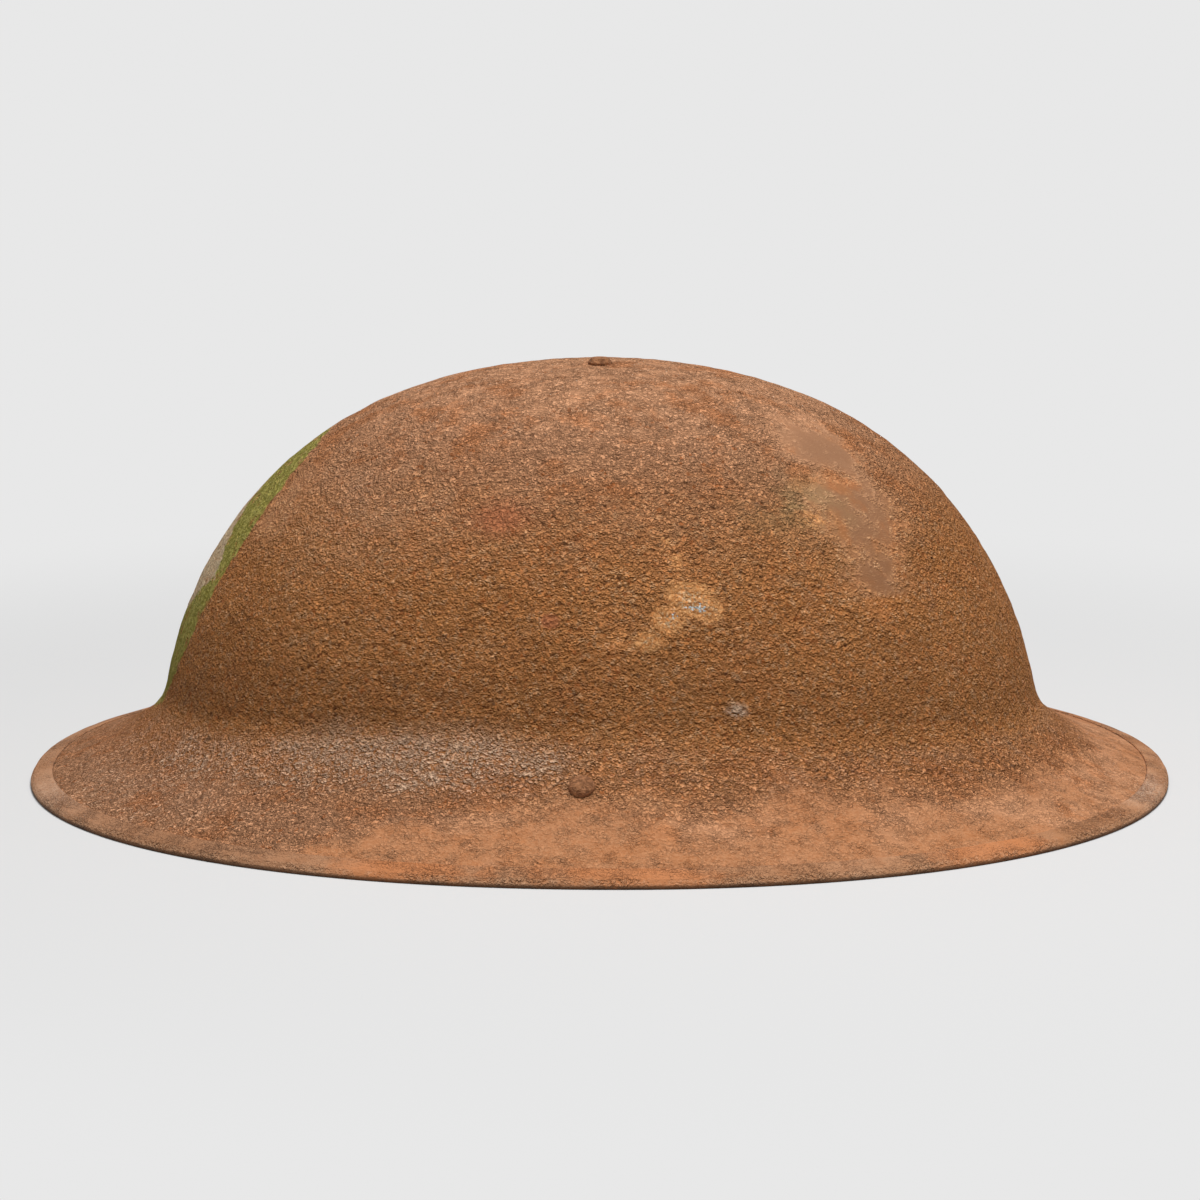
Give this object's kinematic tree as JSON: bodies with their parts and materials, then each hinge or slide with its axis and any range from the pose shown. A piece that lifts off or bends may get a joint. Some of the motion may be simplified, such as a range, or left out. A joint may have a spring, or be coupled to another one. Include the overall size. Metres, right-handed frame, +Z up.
{
  "type": "brodie helmet",
  "caption": "Steel helmet with a low dome, a wide flared brim, a riveted padded liner with a net, and a buckled chin strap on wire bales.",
  "frame": {"origin": "centre of the rim on the plane on which the helmet rests", "axes": "+Z up through the crown, -X towards the front of the helmet, -Y towards the left side of the wearer"},
  "size_m": [0.305, 0.2868, 0.1133],
  "materials": {
    "shell_paint": "rough brown paint with grit in it, rusted through in places",
    "rim_steel": "rough brown paint over rust, worn along the edge",
    "rivet_steel": "rusted steel",
    "plain_steel": "dull steel with light rust",
    "brass": "dull brass",
    "felt": "grey-brown pressed felt",
    "oilcloth": "black oilcloth, cracked along its creases",
    "liner_leather": "dark brown worn leather",
    "tab_leather": "dark leather",
    "strap_leather": "brown harness leather",
    "rubber": "aged red-brown rubber",
    "twine": "tan cotton cord",
    "net_twine": "tan twine"
  },
  "bodies": {
    "helmet": {"steel_shell": "shell_paint", "rim_binding": "rim_steel", "crown_rivet": "rivet_steel", "crown_pad": "felt", "liner_cap": "oilcloth", "crown_patch": "liner_leather", "crown_washer": "plain_steel", "felt_band": "felt", "liner_band": "liner_leather", "rubber_buffers": "rubber", "buffer_cord": "twine", "buffer_tabs": "tab_leather", "head_net": "net_twine", "net_hem": "net_twine", "net_drawstring": "twine", "left_clip": "plain_steel", "right_clip": "plain_steel", "left_clip_rivet": "rivet_steel", "right_clip_rivet": "rivet_steel"},
    "left_bale_set": {"left_bale": "plain_steel", "left_strap_loop": "strap_leather", "left_loop_rivet": "brass"},
    "right_bale_set": {"right_bale": "plain_steel", "right_strap_loop": "strap_leather", "right_loop_rivet": "brass"},
    "left_strap_half": {"left_strap": "strap_leather", "fold_rivet": "brass"},
    "right_strap_half": {"right_strap": "strap_leather"},
    "buckle": {"buckle_frame": "plain_steel"},
    "sliding_bar": {"buckle_slider": "plain_steel"},
    "keeper": {"strap_keeper": "strap_leather"}
  },
  "joints": [
    {"name": "left_bale_swing", "type": "hinge", "parent": "helmet", "child": "left_bale_set", "pos_m": [0.004, -0.09653, 0.02676], "axis": [-1, 0, 0], "range_deg": [-5, 35]},
    {"name": "right_bale_swing", "type": "hinge", "parent": "helmet", "child": "right_bale_set", "pos_m": [0.004, 0.09653, 0.02676], "axis": [1, 0, 0], "range_deg": [-5, 35]},
    {"name": "left_strap_swing", "type": "hinge", "parent": "left_bale_set", "child": "left_strap_half", "pos_m": [0.004, -0.09653, 0.0105], "axis": [0, 1, 0], "range_deg": [0, 180]},
    {"name": "right_strap_swing", "type": "hinge", "parent": "right_bale_set", "child": "right_strap_half", "pos_m": [0.004, 0.09653, 0.0105], "axis": [0, 1, 0], "range_deg": [0, 180]},
    {"name": "buckle_swing", "type": "hinge", "parent": "left_strap_half", "child": "buckle", "pos_m": [0.10075, -0.00919, 0.0105], "axis": [0, 0, 1], "range_deg": [-45, 10]},
    {"name": "bar_slide", "type": "slide", "parent": "buckle", "child": "sliding_bar", "axis": [0, 1, 0], "range_m": [0, 0.01]},
    {"name": "keeper_slide", "type": "hinge", "parent": "left_strap_half", "child": "keeper", "pos_m": [-0.00183, -0.00096, 0.0105], "axis": [0, 0, 1], "range_deg": [-10, 1.5]}
  ]
}
